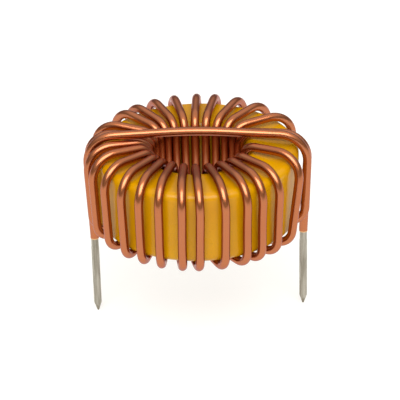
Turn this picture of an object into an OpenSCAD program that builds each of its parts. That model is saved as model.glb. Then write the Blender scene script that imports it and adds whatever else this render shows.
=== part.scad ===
// Toroidal inductor for through-hole mounting: a coated powder ring with one
// length of enamelled copper wire wound round it by hand.
// Millimetres. The origin is midway between the two leads, in the plane of the
// circuit board, with +Z up: the leads reach down through the board.

/* [Core] */
// Outer diameter of the coated ring
core_od = 33; // [27:0.5:40]
// Diameter of the hole through the coated ring
core_id = 17; // [15:0.5:21]
// Height of the coated ring
core_h = 12.3; // [9:0.1:16]
// Radius of the ring's rounded edges
core_edge_r = 1.2; // [0.8:0.1:1.6]

/* [Wire] */
// Diameter of the wire over its enamel
wire_d = 1.45; // [1:0.05:1.7]
// Gap that the springy wire leaves to the ring's faces
wire_gap = 0.25; // [0.2:0.05:0.5]

/* [Turns] */
// Radius of a turn's bends at the hole and at its outer foot
turn_bend_r = 2.5; // [2.2:0.1:2.8]
// Radius of a turn's wide bend over the ring's outer top edge
shoulder_bend_r = 3.9; // [3:0.1:4]
// How much higher a turn stands over the outer top edge than at the hole
shoulder_rise = 0.7; // [0.6:0.05:1]
// How far that bend's corner stands out beyond the turn's foot
shoulder_out = 0.65; // [0.5:0.05:0.8]

/* [Bridge] */
// Height of the bridge's middle over its two shoulders, before its crown is rounded
bridge_rise = 1.1; // [0.8:0.05:1.4]
// Radius of the bridge's crown
bridge_crown_r = 80; // [60:5:90]
// Radius of the bridge's two shoulders
bridge_shoulder_r = 4.8; // [4.4:0.2:5.2]
// How far the bridge's two shoulders stand out beyond the turns' feet
bridge_out = 0.55; // [0.4:0.05:0.7]
// Gap between the bridge and the ring's edge or the turns that it crosses
bridge_gap = 0.2; // [0.18:0.02:0.3]

/* [Leads] */
// How far each lead leans in from its shoulder down to the board
lead_inset = 0.725; // [0.5:0.025:0.9]
// Diameter of a stripped and tinned lead
lead_d = 1.3; // [0.8:0.05:1.5]
// Length of a lead under the board's top face, point included
lead_l = 14; // [6:0.5:20]
// Length of a lead's cut point
lead_point_l = 1.6; // [0.8:0.1:2.5]
// Width of a lead's blunt end
lead_end_d = 0.25; // [0.1:0.05:0.5]
// Clear height under the lowest turns
standoff = 2.4; // [1.5:0.1:5]

/* [Hidden] */
$fn = 40;

wire_r = wire_d / 2;
// Where a bend is much wider than the ring's rounded edge, the wire stands
// further off the faces, so that it still clears the edge at the corner.
edge_gap = 0.1;
bend_over_edge = turn_bend_r - wire_r - core_edge_r;
turn_gap = max(wire_gap, (edge_gap + (sqrt(2) - 1) * bend_over_edge) / sqrt(2));
turn_offset = turn_gap + wire_r;

core_z = standoff + wire_d + turn_gap;
foot_r = core_od / 2 + turn_offset;
turn_r_in = core_id / 2 - turn_offset;
turn_z_low = core_z - turn_offset;
turn_z_top = core_z + core_h + turn_offset;
shoulder_r = foot_r + shoulder_out;
shoulder_z = turn_z_top + shoulder_rise;
bridge_r = foot_r + bridge_out;

// Azimuths run clockwise from +X, seen from above, the way the wire is wound.
// Outer leg of each turn, spaced by eye as a hand winder lays them.
outer_lay = [
    25, 46, 57, 66, 78, 91, 100, 112, 123, 134, 147, 161, 172,
    190, 203, 222, 232, 245, 258, 272, 283, 298, 313, 333, 360
];
turns = len(outer_lay);
last_turn = turns - 1;

// Inner legs stand side by side, a little closer on the far side of the hole.
// The first leg is set apart from them, where the ring's coat lies bare.
inner_first = 14;
inner_second = 39;
inner_last = 338;
inner_crowding = 4;
inner_step = (inner_last - inner_second) / (last_turn - 1);
// The less room the wire leaves between them, the more evenly they stand.
inner_even_step = (inner_last - inner_first) / last_turn;
inner_room = 2 * turn_r_in * sin(inner_even_step / 2) - wire_d;
free_room = 0.25;
wander = max(0, min(1, inner_room / free_room));

// Outer foot of the first turn, which leans to the second one.
first_foot = 34;
// The bridge comes down beside the last turn.
bridge_az = 6.5;

// The enamel ends in a short cone just above the board.
enamel_end_l = 0.3;
lead_straight_l = 0.5;
bend_thinning = 0.02;
run_reach = 0.02;
lead_pitch = 2 * (bridge_r - lead_inset);

function unit(v) = v / norm(v);
function at(az, r, z) = [r * cos(az), -r * sin(az), z];
function even_az(k) = inner_first + inner_even_step * k;
function crowded_az(k) =
    inner_second + inner_step * (k - 1) + inner_crowding * sin(360 * (k - 1) / (last_turn - 1));
function inner_az(k) =
    k == 0 ? inner_first : even_az(k) + wander * (crowded_az(k) - even_az(k));
function foot_az(k) = k == 0 ? first_foot : outer_lay[k];

// A route is a list of corners, each a point and its bend radius, that
// straight runs join.
function lead_route(side) = [
    [[side * lead_pitch / 2, 0, enamel_end_l], 0],
    [[side * lead_pitch / 2, 0, lead_straight_l], turn_bend_r]
];

// The bridge clears the ring's rounded edge at its shoulders, and the turns
// that pass under it a little way out from the hole, whichever lifts it more.
bridge_crossing = 0.3;
bridge_slope = atan(bridge_rise / bridge_r);
shoulder_setback = bridge_shoulder_r * tan((90 - bridge_slope) / 2);
shoulder_reach = bridge_shoulder_r - wire_r - core_edge_r;
side_gap = turn_gap + bridge_out;
shoulder_sink = sqrt((shoulder_reach - bridge_gap) ^ 2 - (shoulder_reach - side_gap) ^ 2);
edge_clear_z = core_z + core_h - core_edge_r + shoulder_setback - shoulder_sink;
crossing_r = turn_r_in + (shoulder_r - turn_r_in) * bridge_crossing;
crossing_z = turn_z_top + shoulder_rise * bridge_crossing;
turns_clear_z = crossing_z + wire_d + bridge_gap - (bridge_r - crossing_r) * tan(bridge_slope);
bridge_shoulder_z = max(edge_clear_z, turns_clear_z);
bridge_left = [-bridge_r, 0, bridge_shoulder_z];
bridge_right = at(bridge_az, bridge_r, bridge_shoulder_z);
bridge_middle = (bridge_left + bridge_right) / 2 + [0, 0, bridge_rise];

bridge_route = [
    [bridge_left, bridge_shoulder_r],
    [bridge_middle, bridge_crown_r],
    [bridge_right, bridge_shoulder_r],
    [at(bridge_az, foot_r, turn_z_low), turn_bend_r]
];
function turn_route(k) = concat(
    [
        [at(inner_az(k), turn_r_in, turn_z_low), turn_bend_r],
        [at(inner_az(k), turn_r_in, turn_z_top), turn_bend_r],
        [at(outer_lay[k], shoulder_r, shoulder_z), shoulder_bend_r]
    ],
    k < last_turn ? [[at(foot_az(k), foot_r, turn_z_low), turn_bend_r]] : []
);
function reversed(list) = [for (i = [len(list) - 1:-1:0]) list[i]];
route = concat(
    lead_route(-1),
    bridge_route,
    [for (k = [0:last_turn]) each turn_route(k)],
    reversed(lead_route(1))
);

function point(i) = route[i][0];
function heading(i) = unit(point(i + 1) - point(i));
function turning(i) = acos(heading(i - 1) * heading(i));
function setback(i) =
    i == 0 || i == len(route) - 1 ? 0 : route[i][1] * tan(turning(i) / 2);
function run_setback(i) = max(0, setback(i) - run_reach);
function across(u, w) = unit(w - (w * u) * u);
function any_across(u) = across(u, abs(u[2]) < 0.7 ? [0, 0, 1] : [1, 0, 0]);
function placed(x, y, z, p) = [
    [x[0], y[0], z[0], p[0]],
    [x[1], y[1], z[1], p[1]],
    [x[2], y[2], z[2], p[2]],
    [0, 0, 0, 1]
];

// Straight run from corner i to the next one. It reaches a little way into
// the bends, which are a hair thinner, so that they meet in a clean step.
module run(i) {
    u = heading(i);
    x = any_across(u);
    start = point(i) + u * run_setback(i);
    length = norm(point(i + 1) - point(i)) - run_setback(i) - run_setback(i + 1);
    multmatrix(placed(x, cross(u, x), u, start)) cylinder(d = wire_d, h = length);
}

// Bend at corner i.
module bend(i) {
    u = heading(i - 1);
    m = across(u, heading(i));
    centre = point(i) - u * setback(i) + m * route[i][1];
    multmatrix(placed(-m, u, cross(-m, u), centre))
        rotate_extrude(angle = turning(i))
            translate([route[i][1], 0]) circle(d = wire_d - bend_thinning);
}

// Enamel's end, tinned lead and its cut point, from the board down.
module lead_end(side) {
    translate([side * lead_pitch / 2, 0, 0]) {
        cylinder(d1 = lead_d, d2 = wire_d, h = enamel_end_l);
        translate([0, 0, lead_point_l - lead_l]) cylinder(d = lead_d, h = lead_l - lead_point_l);
        translate([0, 0, -lead_l]) cylinder(d1 = lead_end_d, d2 = lead_d, h = lead_point_l);
    }
}

module core() {
    wall = (core_od - core_id) / 2;
    color("goldenrod")
        translate([0, 0, core_z])
            rotate_extrude()
                translate([core_id / 2, 0]) {
                    translate([core_edge_r, 0]) square([wall - 2 * core_edge_r, core_h]);
                    translate([0, core_edge_r]) square([wall, core_h - 2 * core_edge_r]);
                    for (x = [core_edge_r, wall - core_edge_r], z = [core_edge_r, core_h - core_edge_r])
                        translate([x, z]) circle(r = core_edge_r);
                }
}

module winding() {
    color("chocolate") {
        for (i = [0:len(route) - 2]) run(i);
        for (i = [1:len(route) - 2]) bend(i);
        for (side = [-1, 1]) lead_end(side);
    }
}

core();
winding();
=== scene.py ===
"""Looks of a through-hole toroidal inductor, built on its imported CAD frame, in metres."""

import logging
import math
from dataclasses import dataclass, field
from enum import Enum

import bpy
from mathutils import Euler, Matrix, Vector, noise


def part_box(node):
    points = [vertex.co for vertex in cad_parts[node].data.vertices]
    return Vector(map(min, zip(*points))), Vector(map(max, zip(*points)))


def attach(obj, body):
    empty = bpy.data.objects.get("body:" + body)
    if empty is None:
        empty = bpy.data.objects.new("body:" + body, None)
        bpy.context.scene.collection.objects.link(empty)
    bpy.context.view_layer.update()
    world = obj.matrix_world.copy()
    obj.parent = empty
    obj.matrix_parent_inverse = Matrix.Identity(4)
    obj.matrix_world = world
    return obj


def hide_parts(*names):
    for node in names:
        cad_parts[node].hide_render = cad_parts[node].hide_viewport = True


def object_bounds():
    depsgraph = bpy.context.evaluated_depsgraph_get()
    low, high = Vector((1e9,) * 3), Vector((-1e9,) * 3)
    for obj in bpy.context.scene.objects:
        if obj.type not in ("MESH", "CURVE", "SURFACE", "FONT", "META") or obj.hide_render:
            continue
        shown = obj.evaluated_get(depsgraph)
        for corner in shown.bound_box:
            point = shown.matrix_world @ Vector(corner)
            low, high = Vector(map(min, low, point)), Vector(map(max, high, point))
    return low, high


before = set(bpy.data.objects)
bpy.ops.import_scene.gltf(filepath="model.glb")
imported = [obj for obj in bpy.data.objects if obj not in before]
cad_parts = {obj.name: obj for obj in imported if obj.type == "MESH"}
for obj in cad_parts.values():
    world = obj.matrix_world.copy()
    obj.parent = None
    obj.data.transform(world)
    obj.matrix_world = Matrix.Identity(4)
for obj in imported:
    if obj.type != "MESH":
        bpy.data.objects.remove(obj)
CAD_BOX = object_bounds()

LOG = logging.getLogger("inductor")
MM = 0.001
BODY = "root"
NOISE_SPAN = (0.3, 0.7)  # a noise texture keeps mostly between these


class Side(Enum):
    """Which of the two leads: the left one runs up into the bridge."""

    LEFT = -1
    RIGHT = 1


# ---------------------------------------------------------------- helpers


def linear(hex_colour: str) -> tuple[float, float, float, float]:
    """Turns an sRGB colour into the linear values that shaders use.

    Args:
        hex_colour: six hex digits after a hash.

    Returns:
        Linear red, green, blue and an alpha of 1.
    """
    parts = [int(hex_colour[i:i + 2], 16) / 255 for i in (1, 3, 5)]
    red, green, blue = (c / 12.92 if c <= 0.04045 else ((c + 0.055) / 1.055) ** 2.4 for c in parts)
    return red, green, blue, 1.0


def add(
    tree: bpy.types.NodeTree,
    kind: str,
    sockets: dict[str | int, object] | None = None,
    **settings: object,
) -> bpy.types.Node:
    """Adds a node with its settings, values and links.

    Args:
        tree: node tree that gets the node.
        kind: the node's type.
        sockets: input name or index, and the value or the output linked to it.
        **settings: the node's own properties.

    Returns:
        The new node.
    """
    node = tree.nodes.new(kind)
    for name, value in settings.items():
        setattr(node, name, value)
    for key, value in (sockets or {}).items():
        if isinstance(value, bpy.types.NodeSocket):
            tree.links.new(value, node.inputs[key])
        else:
            node.inputs[key].default_value = value
    return node


def ramp(
    tree: bpy.types.NodeTree,
    value: object,
    span: tuple[object, object],
    ends: tuple[object, object],
    **settings: object,
) -> bpy.types.NodeSocket:
    """Turns a value within a span into one between two ends, and holds it there beyond.

    Args:
        tree: node tree that gets the node.
        value: the socket that is read.
        span: its two bounds.
        ends: the results at those bounds.
        **settings: the node's own properties.

    Returns:
        The result's socket.
    """
    sockets = {"Value": value, 1: span[0], 2: span[1], 3: ends[0], 4: ends[1]}
    return add(tree, "ShaderNodeMapRange", sockets, **settings).outputs[0]


def new_material(name: str) -> tuple[bpy.types.Material, bpy.types.NodeTree]:
    """Starts an empty node material.

    Args:
        name: what the real material is and how it was made.

    Returns:
        The material and its node tree.
    """
    material = bpy.data.materials.new(name)
    material.use_nodes = True
    material.node_tree.nodes.clear()
    return material, material.node_tree


def new_piece(name: str, mesh: bpy.types.Mesh) -> bpy.types.Object:
    """Links an object for a mesh.

    Args:
        name: the piece's name.
        mesh: its mesh, with its place in its vertices.

    Returns:
        The linked object, at the origin.
    """
    piece = bpy.data.objects.new(name, mesh)
    bpy.context.scene.collection.objects.link(piece)
    return piece


@dataclass
class NodeShape:
    """A Geometry Nodes tree under construction, with named inputs for its sizes."""

    name: str
    inputs: dict[str, tuple[str, object]]
    tree: bpy.types.NodeTree = field(init=False)
    entry: bpy.types.Node = field(init=False)

    def __post_init__(self) -> None:
        """Makes the empty tree with its named inputs."""
        self.tree = bpy.data.node_groups.new(self.name, "GeometryNodeTree")
        face = self.tree.interface
        face.new_socket(name="Geometry", in_out="INPUT", socket_type="NodeSocketGeometry")
        for name, (kind, _) in self.inputs.items():
            face.new_socket(name=name, in_out="INPUT", socket_type=kind)
        face.new_socket(name="Geometry", in_out="OUTPUT", socket_type="NodeSocketGeometry")
        self.entry = self.tree.nodes.new("NodeGroupInput")

    def size(self, name: str) -> bpy.types.NodeSocket:
        """Gives the output socket of a named input."""
        return self.entry.outputs[name]

    def math(self, operation: str, *values: object) -> bpy.types.NodeSocket:
        """Works out one number from others.

        Args:
            operation: the Math node's operation.
            *values: its operands, as numbers or sockets.

        Returns:
            The result's socket.
        """
        node = add(self.tree, "ShaderNodeMath", dict(enumerate(values)), operation=operation)
        return node.outputs[0]

    def finish(self, geometry: bpy.types.NodeSocket, material: bpy.types.Material) -> None:
        """Ends the tree in smooth faces, real geometry and a material.

        Args:
            geometry: the shape's mesh.
            material: the finish that its faces get.
        """
        smooth = add(self.tree, "GeometryNodeSetShadeSmooth", {"Geometry": geometry})
        real = add(self.tree, "GeometryNodeRealizeInstances", {"Geometry": smooth.outputs[0]})
        dressed = add(self.tree, "GeometryNodeSetMaterial", {
            "Geometry": real.outputs[0], "Material": material})
        add(self.tree, "NodeGroupOutput", {"Geometry": dressed.outputs[0]})

    def apply(self, piece: bpy.types.Object) -> None:
        """Runs the tree on a piece and keeps the result as its plain mesh.

        Args:
            piece: object whose mesh goes into the tree.
        """
        modifier = piece.modifiers.new(self.name, "NODES")
        modifier.node_group = self.tree
        for item in self.tree.interface.items_tree:
            if item.in_out == "INPUT" and item.name in self.inputs:
                modifier[item.identifier] = self.inputs[item.name][1]
        graph = bpy.context.evaluated_depsgraph_get()
        made = bpy.data.meshes.new_from_object(
            piece.evaluated_get(graph), preserve_all_data_layers=True, depsgraph=graph
        )
        piece.modifiers.clear()
        piece.data = made
        made.name = piece.name


# ---------------------------------------------------------------- finishes


@dataclass(frozen=True)
class SprayedEpoxy:
    """Sprayed and cured epoxy on a pressed powder ring: deep yellow gloss with orange peel."""

    yellow: str = "#D8A000"
    amber: str = "#C08000"
    speck: str = "#A8801A"
    peel_width: float = 0.9 * MM
    peel_height: float = 0.02 * MM
    speck_width: float = 0.34 * MM  # real pigment specks are finer, this is as coarse as shows
    speck_span: tuple[float, float] = (0.55, 0.78)
    speck_share: float = 0.55
    cloud_width: float = 9 * MM
    roughness: tuple[float, float] = (0.24, 0.34)

    def build(self) -> bpy.types.Material:
        """Makes the material. The eye sees clean yellow gloss, faintly dimpled and speckled."""
        material, tree = new_material("epoxy_coat_sprayed")
        place = add(tree, "ShaderNodeTexCoord").outputs["Object"]
        cloud = add(tree, "ShaderNodeTexNoise", {
            "Vector": place, "Scale": 1 / self.cloud_width, "Detail": 2.0})
        tint = add(tree, "ShaderNodeMix", {
            0: cloud.outputs[0], 6: linear(self.yellow), 7: linear(self.amber)}, data_type="RGBA")
        grit = add(tree, "ShaderNodeTexNoise", {
            "Vector": place, "Scale": 1 / self.speck_width, "Detail": 3.0, "Roughness": 0.7})
        specks = ramp(tree, grit.outputs[0], self.speck_span, (0.0, self.speck_share))
        colour = add(tree, "ShaderNodeMix", {
            0: specks, 6: tint.outputs[2], 7: linear(self.speck)}, data_type="RGBA")
        peel = add(tree, "ShaderNodeTexNoise", {
            "Vector": place, "Scale": 1 / self.peel_width, "Detail": 2.0, "Roughness": 0.45})
        dimples = add(tree, "ShaderNodeBump", {
            "Height": peel.outputs[0], "Distance": self.peel_height, "Strength": 1.0})
        gloss = ramp(tree, cloud.outputs[0], NOISE_SPAN, self.roughness)
        shader = add(tree, "ShaderNodeBsdfPrincipled", {
            "Base Color": colour.outputs[2], "Roughness": gloss, "IOR": 1.52,
            "Normal": dimples.outputs[0], "Specular IOR Level": 0.12,
            "Coat Weight": 0.25, "Coat Roughness": 0.05, "Coat Normal": dimples.outputs[0]})
        add(tree, "ShaderNodeOutputMaterial", {"Surface": shader.outputs[0]})
        return material


@dataclass(frozen=True)
class EnamelledCopper:
    """Drawn copper under clear amber enamel: bright metal, warm and saturated between turns."""

    copper: str = "#BF7F50"
    ruddy: str = "#B37042"
    burnt_end: str = "#E3CDA6"
    edge_tint: str = "#C07A48"
    enamel_tint: str = "#F3C79A"
    draw_line_width: float = 0.28 * MM
    draw_line_length: float = 9 * MM
    dent_width: float = 1.1 * MM
    dent_height: float = 0.016 * MM
    end_height: float = 0.1 * MM
    patch_width: float = 7 * MM
    roughness: tuple[float, float] = (0.24, 0.34)

    def build(self) -> bpy.types.Material:
        """Makes the material. The eye sees copper with streaky highlights and small handling dents."""
        material, tree = new_material("copper_wire_drawn_enamelled")
        along = add(tree, "ShaderNodeAttribute", attribute_name="wire_space").outputs["Vector"]
        place = add(tree, "ShaderNodeTexCoord").outputs["Object"]
        patches = add(tree, "ShaderNodeTexNoise", {
            "Vector": along, "Scale": 1 / self.patch_width, "Detail": 3.0})
        tone = add(tree, "ShaderNodeMix", {
            0: patches.outputs[0], 6: linear(self.copper), 7: linear(self.ruddy)}, data_type="RGBA")
        height = add(tree, "ShaderNodeSeparateXYZ", {0: place}).outputs["Z"]
        burnt = ramp(tree, height, (self.end_height, self.end_height * 2), (1.0, 0.0))
        colour = add(tree, "ShaderNodeMix", {
            0: burnt, 6: tone.outputs[2], 7: linear(self.burnt_end)}, data_type="RGBA")
        stretched = add(tree, "ShaderNodeMapping", {
            "Vector": along, "Scale": (1.0, 1.0, self.draw_line_width / self.draw_line_length)})
        lines = add(tree, "ShaderNodeTexNoise", {
            "Vector": stretched.outputs[0], "Scale": 1 / self.draw_line_width, "Detail": 2.0})
        dents = add(tree, "ShaderNodeTexNoise", {
            "Vector": along, "Scale": 1 / self.dent_width, "Detail": 1.0})
        relief = add(tree, "ShaderNodeMath", {0: lines.outputs[0], 1: dents.outputs[0]}, operation="ADD")
        bump = add(tree, "ShaderNodeBump", {
            "Height": relief.outputs[0], "Distance": self.dent_height, "Strength": 1.0})
        gloss = ramp(tree, lines.outputs[0], NOISE_SPAN, self.roughness)
        shader = add(tree, "ShaderNodeBsdfPrincipled", {
            "Base Color": colour.outputs[2], "Metallic": 1.0, "Roughness": gloss,
            "Normal": bump.outputs[0], "Specular Tint": linear(self.edge_tint),
            "Coat Weight": 0.7, "Coat Roughness": 0.16, "Coat IOR": 1.6,
            "Coat Tint": linear(self.enamel_tint)})
        add(tree, "ShaderNodeOutputMaterial", {"Surface": shader.outputs[0]})
        return material


@dataclass(frozen=True)
class DippedTin:
    """Solder-dipped copper lead: dull warm grey, with streaks where the tin ran down."""

    bright: str = "#B5B0A4"
    dull: str = "#8D877A"
    stain: str = "#6E6148"
    run_width: float = 0.35 * MM
    run_length: float = 5 * MM
    grain_width: float = 0.3 * MM
    relief_height: float = 0.015 * MM
    roughness: tuple[float, float] = (0.32, 0.5)
    stain_top: float = -12.9 * MM
    stain_fade: float = 0.9 * MM
    stain_share: float = 0.75

    def build(self) -> bpy.types.Material:
        """Makes the material. The eye sees satin metal with soft vertical runs and a darker cut end."""
        material, tree = new_material("copper_wire_solder_dipped")
        place = add(tree, "ShaderNodeTexCoord").outputs["Object"]
        stretched = add(tree, "ShaderNodeMapping", {
            "Vector": place, "Scale": (1.0, 1.0, self.run_width / self.run_length)})
        runs = add(tree, "ShaderNodeTexNoise", {
            "Vector": stretched.outputs[0], "Scale": 1 / self.run_width, "Detail": 2.0})
        grain = add(tree, "ShaderNodeTexNoise", {
            "Vector": place, "Scale": 1 / self.grain_width, "Detail": 4.0})
        share = ramp(tree, runs.outputs[0], (0.35, 0.65), (0.0, 1.0))
        metal = add(tree, "ShaderNodeMix", {
            0: share, 6: linear(self.bright), 7: linear(self.dull)}, data_type="RGBA")
        height = add(tree, "ShaderNodeSeparateXYZ", {0: place}).outputs["Z"]
        stain_span = (self.stain_top - self.stain_fade, self.stain_top)
        low = ramp(tree, height, stain_span, (self.stain_share, 0.0))
        colour = add(tree, "ShaderNodeMix", {
            0: low, 6: metal.outputs[2], 7: linear(self.stain)}, data_type="RGBA")
        relief = add(tree, "ShaderNodeMath", {0: runs.outputs[0], 1: grain.outputs[0]}, operation="ADD")
        bump = add(tree, "ShaderNodeBump", {
            "Height": relief.outputs[0], "Distance": self.relief_height, "Strength": 1.0})
        gloss = ramp(tree, grain.outputs[0], NOISE_SPAN, self.roughness)
        shader = add(tree, "ShaderNodeBsdfPrincipled", {
            "Base Color": colour.outputs[2], "Metallic": 1.0, "Roughness": gloss,
            "Normal": bump.outputs[0]})
        add(tree, "ShaderNodeOutputMaterial", {"Surface": shader.outputs[0]})
        return material


@dataclass(frozen=True)
class MattPaper:
    """Seamless matt paper on a light table, so that it glows and holds hardly any shadow."""

    paper: str = "#A3A29E"
    lit_white: str = "#FFFEFA"
    glow: float = 0.74

    def build(self) -> bpy.types.Material:
        """Makes the material. The eye sees an even white sheet."""
        material, tree = new_material("paper_matt_white")
        shader = add(tree, "ShaderNodeBsdfPrincipled", {
            "Base Color": linear(self.paper), "Roughness": 0.95, "Specular IOR Level": 0.1,
            "Emission Color": linear(self.lit_white), "Emission Strength": self.glow})
        add(tree, "ShaderNodeOutputMaterial", {"Surface": shader.outputs[0]})
        return material


# ---------------------------------------------------------------- ring core


@dataclass
class CoatedRing:
    """The pressed powder ring under its sprayed coat."""

    hole_d: float = 17 * MM
    edge_r: float = 1.2 * MM
    around: int = 256
    edge_steps: int = 8
    face_step: float = 0.9 * MM
    ripple: float = 0.02 * MM
    ripple_width: float = 3 * MM
    seed: float = 4.0

    def __post_init__(self) -> None:
        """Takes the ring's outer size and its place from the frame."""
        low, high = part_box("core")
        self.outer_d = high.x - low.x
        self.height = high.z - low.z
        self.foot_z = low.z

    def shape(self, material: bpy.types.Material) -> NodeShape:
        """Sweeps the wall's rounded section round the ring's axis.

        Args:
            material: the coat.

        Returns:
            The finished tree.
        """
        shape = NodeShape("ring_from_section", {
            "Outer diameter": ("NodeSocketFloat", self.outer_d),
            "Hole diameter": ("NodeSocketFloat", self.hole_d),
            "Height": ("NodeSocketFloat", self.height),
            "Edge radius": ("NodeSocketFloat", self.edge_r),
            "Foot height": ("NodeSocketFloat", self.foot_z),
            "Segments": ("NodeSocketInt", self.around),
            "Edge steps": ("NodeSocketInt", self.edge_steps),
            "Face step": ("NodeSocketFloat", self.face_step),
            "Ripple": ("NodeSocketFloat", self.ripple),
            "Ripple width": ("NodeSocketFloat", self.ripple_width),
            "Seed": ("NodeSocketFloat", self.seed),
        })
        tree = shape.tree
        outer, hole = shape.size("Outer diameter"), shape.size("Hole diameter")
        wall = shape.math("DIVIDE", shape.math("SUBTRACT", outer, hole), 2.0)
        middle = shape.math("DIVIDE", shape.math("ADD", outer, hole), 4.0)
        section = add(tree, "GeometryNodeCurvePrimitiveQuadrilateral", {
            "Width": wall, "Height": shape.size("Height")})
        rounded = add(tree, "GeometryNodeFilletCurve", {
            "Curve": section.outputs[0], "Count": shape.size("Edge steps"),
            "Radius": shape.size("Edge radius")}, mode="POLY")
        cuts = self.cuts_for(shape, shape.size("Face step"))
        fine = add(tree, "GeometryNodeSubdivideCurve", {"Curve": rounded.outputs[0], "Cuts": cuts})
        path = add(tree, "GeometryNodeCurvePrimitiveCircle", {
            "Resolution": shape.size("Segments"), "Radius": middle})
        swept = add(tree, "GeometryNodeCurveToMesh", {
            "Curve": path.outputs[0], "Profile Curve": fine.outputs[0]})
        half = shape.math("DIVIDE", shape.size("Height"), 2.0)
        place = add(tree, "ShaderNodeCombineXYZ", {2: shape.math("ADD", shape.size("Foot height"), half)})
        placed = add(tree, "GeometryNodeTransform", {
            "Geometry": swept.outputs[0], "Translation": place.outputs[0]})
        wave = add(tree, "ShaderNodeTexNoise", {
            "Scale": shape.math("DIVIDE", 1.0, shape.size("Ripple width")),
            "W": shape.size("Seed"), "Detail": 1.0}, noise_dimensions="4D")
        sink = shape.math("MULTIPLY", shape.math("MULTIPLY", wave.outputs[0], -1.0), shape.size("Ripple"))
        normal = add(tree, "GeometryNodeInputNormal")
        inward = add(tree, "ShaderNodeVectorMath", {
            0: normal.outputs[0], "Scale": sink}, operation="SCALE")
        rippled = add(tree, "GeometryNodeSetPosition", {
            "Geometry": placed.outputs[0], "Offset": inward.outputs[0]})
        shape.finish(rippled.outputs[0], material)
        return shape

    @staticmethod
    def cuts_for(shape: NodeShape, step: bpy.types.NodeSocket) -> bpy.types.NodeSocket:
        """Counts the cuts that split each straight stretch into short steps.

        Args:
            shape: tree that holds the curve.
            step: the longest step wanted.

        Returns:
            The socket with the number of cuts after each point.
        """
        tree = shape.tree
        here = add(tree, "GeometryNodeInputPosition")
        index = add(tree, "GeometryNodeInputIndex")
        after = add(tree, "GeometryNodeFieldAtIndex", {
            "Index": shape.math("ADD", index.outputs[0], 1.0), "Value": here.outputs[0]},
            data_type="FLOAT_VECTOR", domain="POINT")
        gap = add(tree, "ShaderNodeVectorMath", {
            0: here.outputs[0], 1: after.outputs[0]}, operation="DISTANCE")
        return shape.math("FLOOR", shape.math("DIVIDE", gap.outputs["Value"], step))

    def build(self) -> bpy.types.Object:
        """Makes the ring, which stands for the CAD core.

        Returns:
            The finished piece.
        """
        ring = new_piece("coated_ring", bpy.data.meshes.new("coated_ring"))
        self.shape(SprayedEpoxy().build()).apply(ring)
        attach(ring, BODY)
        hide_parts("core")
        return ring


# ---------------------------------------------------------------- wire


@dataclass
class Corner:
    """A corner of the wire's route, where two straight runs meet."""

    point: Vector
    bend_r: float
    girth: float = 1.0


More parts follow.
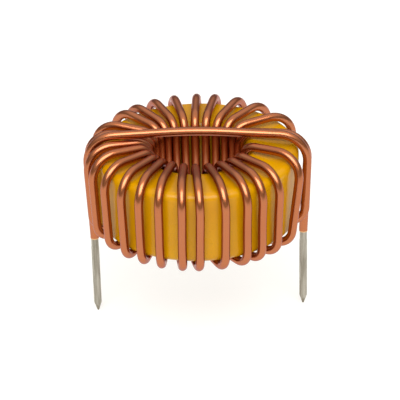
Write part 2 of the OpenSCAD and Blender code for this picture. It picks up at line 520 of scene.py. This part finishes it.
@dataclass
class Winding:
    """One length of enamelled wire: left lead, bridge, turns round the ring, right lead."""

    ring: CoatedRing
    wire_d: float = 1.45 * MM
    inset: float = 0.03 * MM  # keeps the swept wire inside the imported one
    wire_gap: float = 0.25 * MM
    turn_bend_r: float = 2.5 * MM
    shoulder_bend_r: float = 3.9 * MM
    shoulder_rise: float = 0.7 * MM
    shoulder_out: float = 0.65 * MM
    bridge_rise: float = 1.1 * MM
    bridge_crown_r: float = 80 * MM
    bridge_shoulder_r: float = 4.8 * MM
    bridge_gap: float = 0.2 * MM
    bridge_out: float = 0.55 * MM
    bridge_crossing: float = 0.3
    lead_inset: float = 0.725 * MM
    lead_straight: float = 0.5 * MM
    end_steps: int = 6
    end_girth: float = 0.87
    # Azimuth of each turn's outer leg, spaced as a hand winder lays them.
    outer_lay: tuple[float, ...] = (
        25, 46, 57, 66, 78, 91, 100, 112, 123, 134, 147, 161, 172,
        190, 203, 222, 232, 245, 258, 272, 283, 298, 313, 333, 360)
    inner_first: float = 14
    inner_second: float = 39
    inner_last: float = 338
    inner_crowding: float = 4
    first_foot: float = 34
    bridge_az: float = 6.5
    sides: int = 26
    bend_steps: int = 11
    run_step: float = 0.9 * MM
    wander: float = 0.1 * MM
    wander_width: float = 9 * MM
    seed: float = 11.0

    def __post_init__(self) -> None:
        """Works out the radii and heights that the wire's centre line keeps to."""
        ring, wire_r = self.ring, self.wire_d / 2
        self.r_foot = ring.outer_d / 2 + self.wire_gap + wire_r
        self.r_in = ring.hole_d / 2 - self.wire_gap - wire_r
        self.r_bridge = self.r_foot + self.bridge_out
        self.z_low = ring.foot_z - self.wire_gap - wire_r
        self.z_top = ring.foot_z + ring.height + self.wire_gap + wire_r
        self.z_shoulder = self.z_top + self.shoulder_rise
        self.lead_x = self.r_bridge - self.lead_inset

    def at(self, azimuth: float, radius: float, z: float) -> Vector:
        """Gives a point by its azimuth, clockwise from +X seen from above, radius and height."""
        turn = math.radians(azimuth)
        return Vector((radius * math.cos(turn), -radius * math.sin(turn), z))

    def inner_az(self, k: int) -> float:
        """Gives the azimuth of turn k's inner leg: a little closer on the far side of the hole."""
        if k == 0:
            return self.inner_first
        spans = len(self.outer_lay) - 2
        step = (self.inner_last - self.inner_second) / spans
        crowding = self.inner_crowding * math.sin(math.tau * (k - 1) / spans)
        return self.inner_second + step * (k - 1) + crowding

    def lead(self, side: Side) -> list[Corner]:
        """Lays a lead from its enamel's rounded end up to its first bend.

        Args:
            side: which lead.

        Returns:
            Its corners, from below.
        """
        x = side.value * self.lead_x
        end_h = self.wire_d / 4
        corners = []
        for i in range(self.end_steps):
            turn = math.pi / 2 * i / (self.end_steps - 1)
            girth = self.end_girth + (1 - self.end_girth) * math.sin(turn)
            corners.append(Corner(Vector((x, 0, end_h * (1 - math.cos(turn)))), 0.0, girth))
        return corners + [Corner(Vector((x, 0, self.lead_straight)), self.turn_bend_r)]

    def bridge(self) -> list[Corner]:
        """Lays the bridge clear of the ring's edge and of the turns that it crosses.

        Returns:
            Its corners, from its left shoulder to its right foot.
        """
        ring, wire_r, shoulder_r = self.ring, self.wire_d / 2, self.bridge_shoulder_r
        slope = math.atan(self.bridge_rise / self.r_bridge)
        setback = shoulder_r * math.tan((math.pi / 2 - slope) / 2)
        reach = shoulder_r - wire_r - ring.edge_r
        side_gap = self.wire_gap + self.bridge_out
        sink = math.sqrt((reach - self.bridge_gap) ** 2 - (reach - side_gap) ** 2)
        over_edge = ring.foot_z + ring.height - ring.edge_r + setback - sink
        crossing_r = self.r_in + (self.r_foot + self.shoulder_out - self.r_in) * self.bridge_crossing
        crossing_z = self.z_top + self.shoulder_rise * self.bridge_crossing
        sag = (self.r_bridge - crossing_r) * math.tan(slope)
        over_turns = crossing_z + self.wire_d + self.bridge_gap - sag
        z = max(over_edge, over_turns)
        left, right = Vector((-self.r_bridge, 0, z)), self.at(self.bridge_az, self.r_bridge, z)
        middle = (left + right) / 2 + Vector((0, 0, self.bridge_rise))
        foot = self.at(self.bridge_az, self.r_foot, self.z_low)
        return [Corner(left, shoulder_r), Corner(middle, self.bridge_crown_r),
                Corner(right, shoulder_r), Corner(foot, self.turn_bend_r)]

    def turn(self, k: int) -> list[Corner]:
        """Lays turn k: up through the hole, over the ring and down outside it.

        Args:
            k: the turn's number, from 0.

        Returns:
            Its corners.
        """
        inner, outer = self.inner_az(k), self.outer_lay[k]
        foot = self.first_foot if k == 0 else outer
        shoulder = self.at(outer, self.r_foot + self.shoulder_out, self.z_shoulder)
        corners = [
            Corner(self.at(inner, self.r_in, self.z_low), self.turn_bend_r),
            Corner(self.at(inner, self.r_in, self.z_top), self.turn_bend_r),
            Corner(shoulder, self.shoulder_bend_r)]
        if k < len(self.outer_lay) - 1:
            corners.append(Corner(self.at(foot, self.r_foot, self.z_low), self.turn_bend_r))
        return corners

    def route(self) -> list[Corner]:
        """Joins the leads, the bridge and the turns into one route.

        Returns:
            All corners, from the left lead to the right one.
        """
        turns = [corner for k in range(len(self.outer_lay)) for corner in self.turn(k)]
        return self.lead(Side.LEFT) + self.bridge() + turns + self.lead(Side.RIGHT)[::-1]

    def centre_line(self) -> bpy.types.Mesh:
        """Draws the route as a chain of edges that keeps each corner's bend and girth.

        Returns:
            The chain.
        """
        corners = self.route()
        mesh = bpy.data.meshes.new("wire_route")
        mesh.from_pydata([c.point for c in corners], [(i, i + 1) for i in range(len(corners) - 1)], [])
        for name in ("bend_r", "girth"):
            values = [getattr(corner, name) for corner in corners]
            mesh.attributes.new(name, "FLOAT", "POINT").data.foreach_set("value", values)
        return mesh

    def shape(self, material: bpy.types.Material) -> NodeShape:
        """Bends the chain's corners, lets the outer legs wander a little and sweeps the wire along it.

        Args:
            material: the enamelled copper.

        Returns:
            The finished tree.
        """
        shape = NodeShape("wire_along_route", {
            "Wire diameter": ("NodeSocketFloat", self.wire_d - self.inset),
            "Sides": ("NodeSocketInt", self.sides),
            "Bend steps": ("NodeSocketInt", self.bend_steps),
            "Run step": ("NodeSocketFloat", self.run_step),
            "Wander": ("NodeSocketFloat", self.wander),
            "Wander width": ("NodeSocketFloat", self.wander_width),
            "Inner radius": ("NodeSocketFloat", (self.r_in + self.r_foot) / 2),
            "Outer radius": ("NodeSocketFloat", self.r_foot),
            "Foot height": ("NodeSocketFloat", self.z_low),
            "Seed": ("NodeSocketFloat", self.seed),
        })
        tree = shape.tree
        chain = add(tree, "GeometryNodeMeshToCurve", {"Mesh": shape.size("Geometry")})
        bend_r = add(tree, "GeometryNodeInputNamedAttribute", {"Name": "bend_r"}, data_type="FLOAT")
        bent = add(tree, "GeometryNodeFilletCurve", {
            "Curve": chain.outputs[0], "Count": shape.size("Bend steps"),
            "Radius": bend_r.outputs[0]}, mode="POLY")
        cuts = CoatedRing.cuts_for(shape, shape.size("Run step"))
        fine = add(tree, "GeometryNodeSubdivideCurve", {"Curve": bent.outputs[0], "Cuts": cuts})
        strayed = add(tree, "GeometryNodeSetPosition", {
            "Geometry": fine.outputs[0], "Offset": self.stray(shape)})
        girth = add(tree, "GeometryNodeInputNamedAttribute", {"Name": "girth"}, data_type="FLOAT")
        sized = add(tree, "GeometryNodeSetCurveRadius", {
            "Curve": strayed.outputs[0], "Radius": girth.outputs[0]})
        way = add(tree, "GeometryNodeSplineParameter")
        marked = add(tree, "GeometryNodeStoreNamedAttribute", {
            "Geometry": sized.outputs[0], "Name": "along", "Value": way.outputs["Length"]},
            data_type="FLOAT", domain="POINT")
        round_section = add(tree, "GeometryNodeCurvePrimitiveCircle", {
            "Resolution": shape.size("Sides"),
            "Radius": shape.math("DIVIDE", shape.size("Wire diameter"), 2.0)})
        spot = add(tree, "GeometryNodeInputPosition")
        section = add(tree, "GeometryNodeStoreNamedAttribute", {
            "Geometry": round_section.outputs[0], "Name": "section", "Value": spot.outputs[0]},
            data_type="FLOAT_VECTOR", domain="POINT")
        tube = add(tree, "GeometryNodeCurveToMesh", {
            "Curve": marked.outputs[0], "Profile Curve": section.outputs[0], "Fill Caps": True})
        along = add(tree, "GeometryNodeInputNamedAttribute", {"Name": "along"}, data_type="FLOAT")
        across = add(
            tree, "GeometryNodeInputNamedAttribute", {"Name": "section"}, data_type="FLOAT_VECTOR")
        run = add(tree, "ShaderNodeCombineXYZ", {2: along.outputs[0]})
        both = add(tree, "ShaderNodeVectorMath", {
            0: across.outputs[0], 1: run.outputs[0]}, operation="ADD")
        mapped = add(tree, "GeometryNodeStoreNamedAttribute", {
            "Geometry": tube.outputs[0], "Name": "wire_space", "Value": both.outputs[0]},
            data_type="FLOAT_VECTOR", domain="POINT")
        shape.finish(mapped.outputs[0], material)
        return shape

    @staticmethod
    def stray(shape: NodeShape) -> bpy.types.NodeSocket:
        """Gives a slow sideways offset that fades out towards the hole and the board.

        Args:
            shape: tree that holds the wire's centre line.

        Returns:
            The offset's socket.
        """
        tree = shape.tree
        here = add(tree, "GeometryNodeInputPosition")
        parts = add(tree, "ShaderNodeSeparateXYZ", {0: here.outputs[0]})
        flat = add(tree, "ShaderNodeCombineXYZ", {0: parts.outputs[0], 1: parts.outputs[1]})
        radius = add(tree, "ShaderNodeVectorMath", {0: flat.outputs[0]}, operation="LENGTH")
        outward = add(tree, "ShaderNodeVectorMath", {0: flat.outputs[0]}, operation="NORMALIZE")
        sideways = add(tree, "ShaderNodeVectorMath", {
            0: outward.outputs[0], 1: (0.0, 0.0, 1.0)}, operation="CROSS_PRODUCT")
        by_radius = ramp(
            tree, radius.outputs["Value"], (shape.size("Inner radius"), shape.size("Outer radius")),
            (0.0, 1.0), interpolation_type="SMOOTHSTEP")
        foot = shape.size("Foot height")
        by_height = ramp(
            tree, parts.outputs[2], (foot, shape.math("MULTIPLY", foot, 2.0)),
            (0.0, 1.0), interpolation_type="SMOOTHSTEP")
        wave = add(tree, "ShaderNodeTexNoise", {
            "Scale": shape.math("DIVIDE", 1.0, shape.size("Wander width")),
            "W": shape.size("Seed"), "Detail": 0.0}, noise_dimensions="4D")
        swing = shape.math("MULTIPLY", shape.math("SUBTRACT", wave.outputs[0], 0.5), 4.0)
        weight = shape.math("MULTIPLY", by_radius, by_height)
        amount = shape.math("MULTIPLY", shape.math("MULTIPLY", swing, weight), shape.size("Wander"))
        return add(tree, "ShaderNodeVectorMath", {
            0: sideways.outputs[0], "Scale": amount}, operation="SCALE").outputs[0]

    def build(self) -> bpy.types.Object:
        """Makes the wire, which stands for the CAD winding.

        Returns:
            The finished piece.
        """
        wire = new_piece("copper_winding", self.centre_line())
        self.shape(EnamelledCopper().build()).apply(wire)
        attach(wire, BODY)
        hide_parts("winding")
        return wire


@dataclass
class TinnedLead:
    """The stripped, solder-dipped and cut end of the wire under its enamel."""

    side: Side
    x: float
    lead_d: float = 1.3 * MM
    neck_d: float = 1.22 * MM
    point_l: float = 1.6 * MM
    point_d: float = 0.25 * MM
    neck_l: float = 1.5 * MM
    step_l: float = 0.25 * MM
    root_z: float = 0.25 * MM
    sides: int = 40
    ring_step: float = 0.2 * MM
    sag: float = 0.02 * MM

    def radius(self, z: float, turn: float) -> float:
        """Gives the lead's radius: a thin neck, a run of tin and a rounded cut point.

        Args:
            z: height.
            turn: angle round the lead.

        Returns:
            The radius there.
        """
        tip_z = CAD_BOX[0].z
        full, neck = self.lead_d / 2, self.neck_d / 2
        blend = min(1.0, max(0.0, (-z - self.neck_l) / self.step_l))
        radius = neck + (full - neck) * blend * blend * (3 - 2 * blend)
        spot = Vector((math.cos(turn), math.sin(turn), z / (1.4 * MM) + 7 * self.side.value))
        radius -= self.sag * (0.5 + 0.5 * noise.noise(spot))
        above = z - tip_z
        if above < self.point_l:
            share = above / self.point_l
            end = self.point_d / 2
            radius = min(radius, end + (self.lead_d / 2 - end) * share)
        return radius

    def build(self, tin: bpy.types.Material) -> bpy.types.Object:
        """Makes the lead's mesh and ties it to the frame.

        Args:
            tin: the solder-dipped finish.

        Returns:
            The finished piece.
        """
        tip_z = CAD_BOX[0].z
        rings = round((self.root_z - tip_z) / self.ring_step)
        points, faces = [], []
        for i in range(rings + 1):
            z = self.root_z + (tip_z - self.root_z) * i / rings
            for j in range(self.sides):
                turn = math.tau * j / self.sides
                r = self.radius(z, turn)
                points.append((self.x + r * math.cos(turn), r * math.sin(turn), z))
        for i in range(rings):
            for j in range(self.sides):
                a, b = i * self.sides + j, i * self.sides + (j + 1) % self.sides
                faces.append((a, a + self.sides, b + self.sides, b))
        faces.append(tuple(range(self.sides)))
        last = rings * self.sides
        faces.append(tuple(range(last + self.sides - 1, last - 1, -1)))
        name = f"tinned_lead_{self.side.name.lower()}"
        mesh = bpy.data.meshes.new(name)
        mesh.from_pydata(points, [], faces)
        mesh.materials.append(tin)
        mesh.shade_smooth()
        lead = new_piece(name, mesh)
        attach(lead, BODY)
        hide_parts("winding")
        return lead


# ---------------------------------------------------------------- studio


@dataclass
class Studio:
    """Pale floor, soft light and the camera."""

    floor_half: float = 0.8
    aim: Vector = field(default_factory=lambda: Vector((0.27, 0, 6.46)) * MM)
    distance: float = 0.36
    azimuth: float = -1.4
    elevation: float = 29.25
    roll: float = -1.3
    lens: float = 197.1
    dome: float = 1.0
    dome_low: float = 0.3
    dome_span: tuple[float, float] = (0.3, 0.8)
    key_place: tuple[float, float, float] = (0, 52, 0.5)
    key_size: tuple[float, float] = (0.5, 0.36)
    key_glow: float = 4.3
    white: str = "#FFFFFF"

    def floor(self) -> bpy.types.Object:
        """Lays a pale floor under the leads' points.

        Returns:
            The floor.
        """
        half, z = self.floor_half, CAD_BOX[0].z
        mesh = bpy.data.meshes.new("floor")
        mesh.from_pydata([(-half, -half, z), (half, -half, z), (half, half, z), (-half, half, z)],
                         [], [(0, 1, 2, 3)])
        mesh.materials.append(MattPaper().build())
        floor = new_piece("floor", mesh)
        return floor

    def sky(self) -> None:
        """Surrounds the object with a white dome that is dimmer near the horizon."""
        world = bpy.data.worlds.new("studio_dome")
        world.use_nodes = True
        tree = world.node_tree
        tree.nodes.clear()
        way = add(tree, "ShaderNodeTexCoord").outputs["Generated"]
        height = add(tree, "ShaderNodeSeparateXYZ", {0: way}).outputs["Z"]
        glow = ramp(
            tree, height, self.dome_span, (self.dome_low, self.dome), interpolation_type="SMOOTHSTEP")
        back = add(tree, "ShaderNodeBackground", {"Color": linear(self.white), "Strength": glow})
        add(tree, "ShaderNodeOutputWorld", {"Surface": back.outputs[0]})
        bpy.context.scene.world = world

    def softbox(self, name: str, place: tuple[float, float, float], size: tuple[float, float],
                glow: float) -> None:
        """Hangs a soft area light that faces the object.

        Args:
            name: the light's name.
            place: azimuth, elevation and distance, as the camera's.
            size: width and height in metres.
            glow: brightness of its face.
        """
        data = bpy.data.lights.new(name, "AREA")
        data.shape = "RECTANGLE"
        data.size, data.size_y = size
        data.energy = glow * math.pi * size[0] * size[1]
        light = bpy.data.objects.new(name, data)
        light.location, light.rotation_euler = self.look(*place)
        bpy.context.scene.collection.objects.link(light)

    def look(self, azimuth: float, elevation: float, distance: float) -> tuple[Vector, Euler]:
        """Places something on a sphere round the aim point, facing it.

        Args:
            azimuth: 0 in front, growing towards +X, in degrees.
            elevation: above the horizon, in degrees.
            distance: from the aim point.

        Returns:
            Its location and rotation.
        """
        a, e = math.radians(azimuth), math.radians(elevation)
        back = Vector((math.sin(a) * math.cos(e), -math.cos(a) * math.cos(e), math.sin(e)))
        return self.aim + back * distance, (-back).to_track_quat("-Z", "Y").to_euler()

    def camera(self) -> None:
        """Sets the camera to the viewing angle, with a long lens and everything in focus."""
        data = bpy.data.cameras.new("camera")
        data.lens = self.lens
        data.clip_start, data.clip_end = 0.01, 10
        camera = bpy.data.objects.new("camera", data)
        place, facing = self.look(self.azimuth, self.elevation, self.distance)
        turned = facing.to_matrix().to_4x4() @ Matrix.Rotation(math.radians(self.roll), 4, "Z")
        camera.matrix_world = Matrix.Translation(place) @ turned
        bpy.context.scene.collection.objects.link(camera)
        bpy.context.scene.camera = camera

    def build(self) -> None:
        """Sets up the floor, the lights, the camera and plain tone mapping."""
        self.floor()
        self.sky()
        self.softbox("key_softbox", self.key_place, self.key_size, self.key_glow)
        self.camera()
        bpy.context.scene.view_settings.view_transform = "Standard"


def report(piece: bpy.types.Object) -> None:
    """Logs a piece's size."""
    piece.data.calc_loop_triangles()
    LOG.info("%s: %d triangles", piece.name, len(piece.data.loop_triangles))


def main() -> None:
    """Builds the ring, the wire, its leads and the studio."""
    logging.basicConfig(level=logging.INFO, format="%(message)s")
    ring = CoatedRing()
    report(ring.build())
    winding = Winding(ring)
    report(winding.build())
    tin = DippedTin().build()
    for side in Side:
        report(TinnedLead(side, side.value * winding.lead_x).build(tin))
    Studio().build()


if __name__ == "__main__":
    main()
